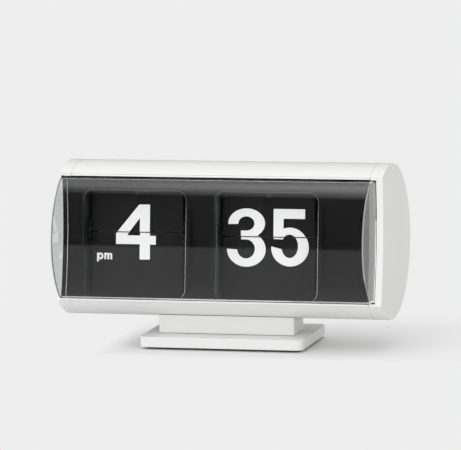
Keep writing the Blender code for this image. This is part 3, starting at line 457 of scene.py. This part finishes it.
def clear_cover():
    """A finer mesh of the cover, whose curved walls bend what is behind it evenly."""
    bm = bmesh.new()
    outer = [cover_loop(bm, 0.0, side * COVER_HALF_X) for side in (-1, 1)]
    inner = [cover_loop(bm, COVER_WALL, side * (COVER_HALF_X - COVER_END_WALL)) for side in (-1, 1)]
    top, last = COVER_STEPS, 2 * COVER_STEPS + 1
    for loops in (outer, inner):
        for loop in loops:
            bm.faces.new(loop)
        for i in range(top, last + 1):
            j = (i + 1) % (last + 1)
            bm.faces.new((loops[0][i], loops[0][j], loops[1][j], loops[1][i]))
    for i in (0, top):
        bm.faces.new((outer[0][i], outer[1][i], inner[1][i], inner[0][i]))
    for skin, hollow in zip(outer, inner):
        for i in range(top):
            bm.faces.new((skin[i], skin[i + 1], hollow[i + 1], hollow[i]))
    bmesh.ops.recalc_face_normals(bm, faces=bm.faces)
    edges = [bm.edges.get((outer[0][i], outer[1][i])) for i in (top + 1, last)]
    for skin in outer:
        edges += [bm.edges.get((skin[i], skin[(i + 1) % (last + 1)])) for i in range(top, last + 1)]
    bmesh.ops.bevel(bm, geom=edges, offset=COVER_EDGE, segments=COVER_EDGE_STEPS, profile=0.5,
                    affect="EDGES")
    mesh = case_mesh("clear_cover", bm)
    mesh.set_sharp_from_angle(angle=COVER_SHARP)
    mesh.materials.append(CLEAR.material)
    mesh.materials.append(PAINTED_EDGE_REFLECTION.material)
    # Only the narrow faces of the left end's rounded edge take the second look, the grey painted reflection
    for face in mesh.polygons:
        at_end = face.center.x < -COVER_HALF_X + COVER_EDGE
        if at_end and abs(face.normal.x) < END_FACING and face.area < EDGE_FACE_AREA:
            face.material_index = 1
    made = in_scene("clear_cover", mesh)
    even = made.modifiers.new("even", "WEIGHTED_NORMAL")
    even.weight = 100
    even.keep_sharp = True
    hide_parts("lens")
    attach(made, "case")


clear_cover()


# The print's outlines are in mm, right and up from each numeral's upper left corner
def ellipse(u, v, ru, rv, start, end):
    """Points of an ellipse between two angles in degrees."""
    turns = [math.radians(start + (end - start) * i / ARC_STEPS) for i in range(ARC_STEPS + 1)]
    return [(u + ru * math.cos(a), v + rv * math.sin(a)) for a in turns]


def numeral_four():
    outer = [(13.8, 0.0), (20.15, 0.0), (20.15, -17.7), (23.6, -17.7), (23.6, -22.7), (20.15, -22.7),
             (20.15, -31.2), (14.1, -31.2), (14.1, -22.6), (0.0, -22.6), (0.0, -16.7)]
    return [outer, [(14.25, -7.6), (14.25, -17.6), (6.6, -17.6)]]


def numeral_three():
    points = ellipse(11.5, -8.5, 10.7, 8.5, 184, -50)
    points += ellipse(11.3, -23.3, 11.3, 9.95, 53, -181)
    points += ellipse(11.1, -23.1, 5.15, 5.4, 184, 450)
    points += [(8.2, -17.7), (8.2, -12.6)]
    points += ellipse(11.35, -8.6, 4.67, 4.05, -90, 184)
    return [points]


def numeral_five():
    points = [(1.33, 0.0), (19.4, 0.0), (19.4, -5.5), (7.1, -5.5)]
    points += ellipse(10.8, -22.0, 10.8, 11.55, 110, 0)[:-1] + ellipse(10.8, -22.0, 10.8, 10.5, 0, -184)
    points += ellipse(10.6, -21.05, 4.8, 6.65, 195, 505)
    points += [(1.33, -17.1)]
    return [points]


def letters_pm():
    """A small bold pm: a stem with one bowl, and three stems under two arches."""
    p_outline = [(0.0, 0.0), (0.0, -5.2), (1.25, -5.2), (1.25, -3.7)]
    p_outline += ellipse(2.25, -1.95, 1.7, 2.0, -110, 110)
    p_outline += [(1.25, -0.3), (1.25, 0.0)]
    p_hole = ellipse(2.2, -1.95, 0.62, 0.95, 0, 345)
    m_outline = [(4.5, 0.0), (4.5, -3.9), (5.65, -3.9)] + ellipse(6.05, -1.55, 0.35, 0.6, 170, 10)
    m_outline += [(6.4, -3.9), (7.5, -3.9)] + ellipse(7.9, -1.55, 0.35, 0.6, 170, 10)
    m_outline += [(8.25, -3.9), (9.35, -3.9)] + ellipse(8.1, -1.25, 1.25, 1.2, 0, 110)
    m_outline += ellipse(6.3, -1.05, 0.95, 1.05, 50, 120) + [(5.6, -0.3), (5.6, 0.0)]
    return [[p_outline, p_hole], [m_outline]]


def ink_mesh(name, outlines, left, top, front):
    """Printed ink as a thin plate on a leaf's front face, in the housing's frame."""
    curve = bpy.data.curves.new(name, "CURVE")
    curve.dimensions = "2D"
    curve.fill_mode = "BOTH"
    curve.extrude = INK_T / 2
    for outline in outlines:
        spline = curve.splines.new("POLY")
        spline.points.add(len(outline) - 1)
        spline.use_cyclic_u = True
        for point, (u, v) in zip(spline.points, outline):
            point.co = (left + u * MM, top + v * MM, 0.0, 1.0)
    guide = in_scene(name, curve)
    mesh = bpy.data.meshes.new_from_object(guide.evaluated_get(bpy.context.evaluated_depsgraph_get()))
    bpy.data.objects.remove(guide, do_unlink=True)
    bpy.data.curves.remove(curve)
    upright = Matrix.Rotation(math.pi / 2, 4, "X")
    mesh.transform(Matrix.Translation((0.0, front - INK_T / 2 - INK_OFF, 0.0)) @ upright)
    return mesh


def printed(name, outlines, left, top, front, body, keep=None):
    """keep is (height, side): the part of the ink above (1) or below (-1) that height."""
    mesh = ink_mesh(name, outlines, left, top, front)
    bm = bmesh.new()
    bm.from_mesh(mesh)
    bmesh.ops.remove_doubles(bm, verts=bm.verts, dist=INK_WELD)
    if keep:
        height, side = keep
        cut = bmesh.ops.bisect_plane(bm, geom=bm.verts[:] + bm.edges[:] + bm.faces[:],
                                     plane_co=(0, 0, height), plane_no=(0, 0, -side), clear_outer=True)
        edges = [e for e in cut["geom_cut"] if isinstance(e, bmesh.types.BMEdge)]
        bmesh.ops.holes_fill(bm, edges=edges)
    bmesh.ops.recalc_face_normals(bm, faces=bm.faces)
    bm.to_mesh(mesh)
    bm.free()
    mesh.transform(CASE)
    mesh.materials.clear()
    mesh.materials.append(INK.material)
    made = in_scene(name, mesh)
    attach(made, body)


def scaled(outlines, middle, scale):
    return [[[m + (c - m) * s for c, m, s in zip(point, middle, scale)] for point in line]
            for line in outlines]


def numeral(name, outlines, left, top, hinge, body, scale):
    """A numeral in two halves: the upper one on the front leaf, the lower one on the lower leaf."""
    middle = [(min(p[i] for p in outlines[0]) + max(p[i] for p in outlines[0])) / 2 for i in (0, 1)]
    outlines = scaled(outlines, middle, scale)
    upper, lower = (hinge + HINGE_BARE, 1), (hinge - HINGE_BARE, -1)
    printed(name + "_upper", outlines, left * MM, top * MM, LEAF_FRONT, body, upper)
    printed(name + "_lower", outlines, left * MM, top * MM, LOWER_FRONT, "case", lower)


numeral("ink_hour_four", numeral_four(), -61.8, 18.8, HOUR_HINGE, "hour_leaf", (0.976, 0.972))
numeral("ink_minute_three", numeral_three(), 2.3, 17.8, MINUTE_HINGE, "minute_leaf", (0.98, 0.962))
numeral("ink_minute_five", numeral_five(), 27.7, 17.7, MINUTE_HINGE, "minute_leaf", (0.99, 0.966))
for part, letter in enumerate(letters_pm(), 1):
    letter = scaled(letter, (0.0, 0.0), (0.95, 0.93))
    printed(f"ink_pm_{part}", letter, -72.5 * MM, -8.6 * MM, LOWER_FRONT, "case")


def quarter(start):
    """Angles of a quarter turn in radians, from start in degrees."""
    return [math.radians(start + 90 * k / QUARTER_STEPS) for k in range(QUARTER_STEPS + 1)]


def window_edge(name, x):
    """The rounded edge of a window in the dial, from its gentle rise to the wall inside."""
    profile = [(RAMP_REACH, STRIP_SINK)]
    for turn in quarter(0):
        profile.append((ROUND_R - ROUND_PROUD - ROUND_R * math.sin(turn),
                        ROUND_R - ROUND_PROUD - ROUND_R * math.cos(turn)))
    profile.append((STRIP_SINK, ROUND_R + ROUND_PROUD))
    outline = []
    for su, sv, start in ((1, 1, 0), (-1, 1, 90), (-1, -1, 180), (1, -1, 270)):
        middle = (x + su * (WINDOW_W / 2 - WINDOW_CORNER), WINDOW_Z + sv * (WINDOW_H / 2 - WINDOW_CORNER))
        outline += [(middle, (math.cos(turn), math.sin(turn))) for turn in quarter(start)]
    bm = bmesh.new()
    rings = []
    for out, depth in profile:
        ring = []
        for (mu, mv), (nu, nv) in outline:
            u, v = mu + nu * (WINDOW_CORNER + out), mv + nv * (WINDOW_CORNER + out)
            v = max(-DIAL_HALF, min(DIAL_HALF, v))
            ring.append(bm.verts.new((u, rim_y(v) + FIT + depth, v)))
        rings.append(ring)
    count = len(outline)
    for low, high in zip(rings, rings[1:]):
        for i in range(count):
            j = (i + 1) % count
            bm.faces.new((low[i], low[j], high[j], high[i]))
    mesh = case_mesh(name, bm)
    mesh.materials.append(ROUND_EDGE.material)
    mesh.materials.append(DIAL.material)
    # The first ring of faces is the gentle rise, and looks like the dial
    for face in mesh.polygons[:count]:
        face.material_index = 1
    made = in_scene(name, mesh)
    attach(made, "case")


def seam_ring(name, side):
    """Fills the joint between the tube and an end cap, just below the surface."""
    bm = bmesh.new()
    turns = [math.radians(-SEAM_SPAN / 2 + SEAM_SPAN * k / SEAM_STEPS) for k in range(SEAM_STEPS + 1)]
    near, far = [[bm.verts.new((side * x, SEAM_R * math.cos(a), SEAM_R * math.sin(a))) for a in turns]
                 for x in SEAM_X]
    for i in range(SEAM_STEPS):
        bm.faces.new((near[i], near[i + 1], far[i + 1], far[i]))
    mesh = case_mesh(name, bm)
    mesh.materials.append(SEAM.material)
    made = in_scene(name, mesh)
    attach(made, "case")


seam_ring("seam_left", -1)
seam_ring("seam_right", 1)
window_edge("hour_window_edge", HOUR_X)
window_edge("minute_window_edge", MINUTE_X)


def fitted_camera():
    ahead = Vector((-math.sin(YAW) * math.cos(PITCH), math.cos(YAW) * math.cos(PITCH), -math.sin(PITCH)))
    level = Vector((math.cos(YAW), math.sin(YAW), 0.0))
    rise = level.cross(ahead)
    right = level * math.cos(ROLL) + rise * math.sin(ROLL)
    up = rise * math.cos(ROLL) - level * math.sin(ROLL)
    aim = Vector((0.0, 0.0, AIM_Z)) + up * AIM_UP
    camera = in_scene("camera", bpy.data.cameras.new("camera"))
    turned = Matrix((right, up, -ahead)).transposed().to_4x4()
    camera.matrix_world = Matrix.Translation(aim - ahead * DISTANCE) @ turned
    camera.data.lens = LENS
    camera.data.sensor_width = SENSOR
    camera.data.clip_end = CLIP_END
    bpy.context.scene.camera = camera


fitted_camera()

for name, place, size, power, target in LAMPS:
    lamp = bpy.data.lights.new(name, "AREA")
    lamp.shape = "RECTANGLE"
    lamp.size, lamp.size_y = size
    lamp.energy = power
    holder = in_scene(name, lamp)
    holder.location = place
    holder.visible_glossy = False
    holder.rotation_euler = (Vector(target) - Vector(place)).to_track_quat("-Z", "Y").to_euler()


def sight(tree):
    """Switches for what is seen straight or through the cover, and for what is seen mirrored."""
    path = tree.nodes.new("ShaderNodeLightPath").outputs
    bounced = maths(tree, "ADD", path["Glossy Depth"], path["Diffuse Depth"], clamp=True)
    through = maths(tree, "MAXIMUM", path["Is Camera Ray"], path["Is Transmission Ray"], clamp=True)
    return (maths(tree, "SUBTRACT", through, bounced, clamp=True),
            maths(tree, "SUBTRACT", path["Glossy Depth"], path["Diffuse Depth"], clamp=True))


def pale_stage():
    """A pale floor that turns into an even backdrop a little behind the clock."""
    bpy.ops.mesh.primitive_plane_add(size=FLOOR_SIZE, location=(0.0, 0.0, FLOOR_Z))
    floor = bpy.context.object
    floor.name = "floor"
    look = Look("floor_pale", srgb(232, 232, 232), 0.9, specular=0.1)
    tree = look.tree
    place = look.node("ShaderNodeNewGeometry").outputs["Position"]
    behind = along(look, place, (-math.sin(YAW), math.cos(YAW), 0.0))
    even = ramp(tree, behind, *GLOW_BEHIND)
    for direction, limits in (((1.0, 0.0, 0.0), GLOW_LEFT), ((0.0, 1.0, 0.0), GLOW_FRONT)):
        side = ramp(tree, along(look, place, direction), *limits, kind="SMOOTHSTEP")
        even = maths(tree, "MAXIMUM", even, side)
    seen, mirrored = sight(tree)
    glow = look.node("ShaderNodeEmission")
    glow.inputs["Color"].default_value = SEEN
    where = maths(tree, "MULTIPLY", even, seen)
    shader = mixed(tree, where, look.shader.outputs["BSDF"], glow.outputs["Emission"])
    # In reflections the pale sheet ends a little way in front of the clock
    image = look.node("ShaderNodeEmission")
    sheet = ramp(tree, behind, -FLOOR_EDGE - FLOOR_EDGE_SOFT, -FLOOR_EDGE, FRONT_MIRROR, FLOOR_MIRROR)
    look.link(sheet, image.inputs["Strength"])
    shader = mixed(tree, mirrored, shader, image.outputs["Emission"])
    look.link(shader, tree.nodes["Material Output"].inputs["Surface"])
    floor.data.materials.append(look.material)


pale_stage()


def pale_world():
    """Even light all round. Reflections see a dark room, a bright ceiling and a bright left side."""
    world = bpy.data.worlds.new("world")
    bpy.context.scene.world = world
    world.use_nodes = True
    tree = world.node_tree
    tree.nodes.clear()
    seen, mirrored = sight(tree)
    split = tree.nodes.new("ShaderNodeSeparateXYZ")
    space = tree.nodes.new("ShaderNodeTexCoord")
    tree.links.new(space.outputs["Generated"], split.inputs["Vector"])
    fall = tree.nodes.new("ShaderNodeMath")
    fall.operation = "MULTIPLY_ADD"
    fall.inputs[1].default_value = -SIDE_FALL * AMBIENT
    fall.inputs[2].default_value = AMBIENT
    tree.links.new(split.outputs["X"], fall.inputs[0])
    ceiling = ramp(tree, split.outputs["Z"], TOP_FROM, TOP_TO, FRONT_MIRROR, TOP_MIRROR)
    left = ramp(tree, split.outputs["X"], SIDE_FROM, SIDE_TO, 0.0, SIDE_MIRROR)
    levels = {}
    for name, colour in (("soft", WHITE), ("mirror", WHITE), ("seen", SEEN)):
        levels[name] = tree.nodes.new("ShaderNodeBackground")
        levels[name].inputs["Color"].default_value = colour
    tree.links.new(fall.outputs["Value"], levels["soft"].inputs["Strength"])
    tree.links.new(maths(tree, "MAXIMUM", ceiling, left), levels["mirror"].inputs["Strength"])
    shader = levels["soft"].outputs["Background"]
    for factor, name in ((mirrored, "mirror"), (seen, "seen")):
        shader = mixed(tree, factor, shader, levels[name].outputs["Background"])
    out = tree.nodes.new("ShaderNodeOutputWorld")
    tree.links.new(shader, out.inputs["Surface"])


pale_world()
bpy.context.scene.view_settings.view_transform = "Standard"
